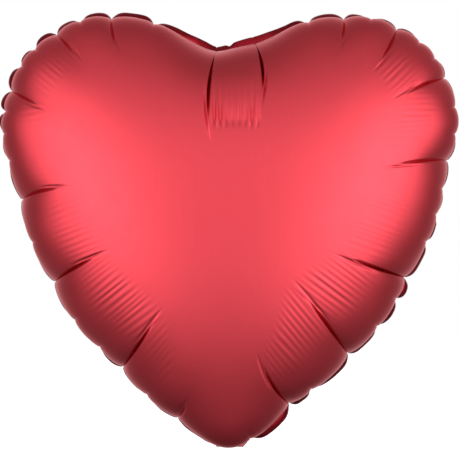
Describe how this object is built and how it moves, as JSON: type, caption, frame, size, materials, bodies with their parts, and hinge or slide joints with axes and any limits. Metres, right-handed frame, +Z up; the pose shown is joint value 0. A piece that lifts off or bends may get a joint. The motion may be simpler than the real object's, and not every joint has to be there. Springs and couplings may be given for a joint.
{
  "type": "heart-shaped foil balloon",
  "caption": "Inflated heart-shaped foil balloon in satin red, with a flat heat-sealed rim and a self-sealing filling tail folded up behind it.",
  "frame": {"origin": "on the tail's crease below the point of the heart, in the plane of the heat seal, where the ribbon is tied", "axes": "+Z up from the point to the lobes, the front panel faces -Y, +X to the viewer's right"},
  "size_m": [0.37, 0.1574, 0.3496],
  "materials": {
    "satin_foil": "satin, red-tinted, vacuum-metallised nylon film",
    "valve_film": "translucent polyethylene film"
  },
  "bodies": {
    "envelope": {"front_panel": "satin_foil", "back_panel": "satin_foil", "valve_front_film": "valve_film", "valve_back_film": "valve_film"},
    "tail": {"tail_front_film": "satin_foil", "tail_back_film": "satin_foil", "tail_valve_front_film": "valve_film", "tail_valve_back_film": "valve_film"}
  },
  "joints": [
    {"name": "tail_fold", "type": "hinge", "parent": "envelope", "child": "tail", "pos_m": [0, 0, 0], "axis": [-1, 0, 0], "range_deg": [0, 120]}
  ]
}
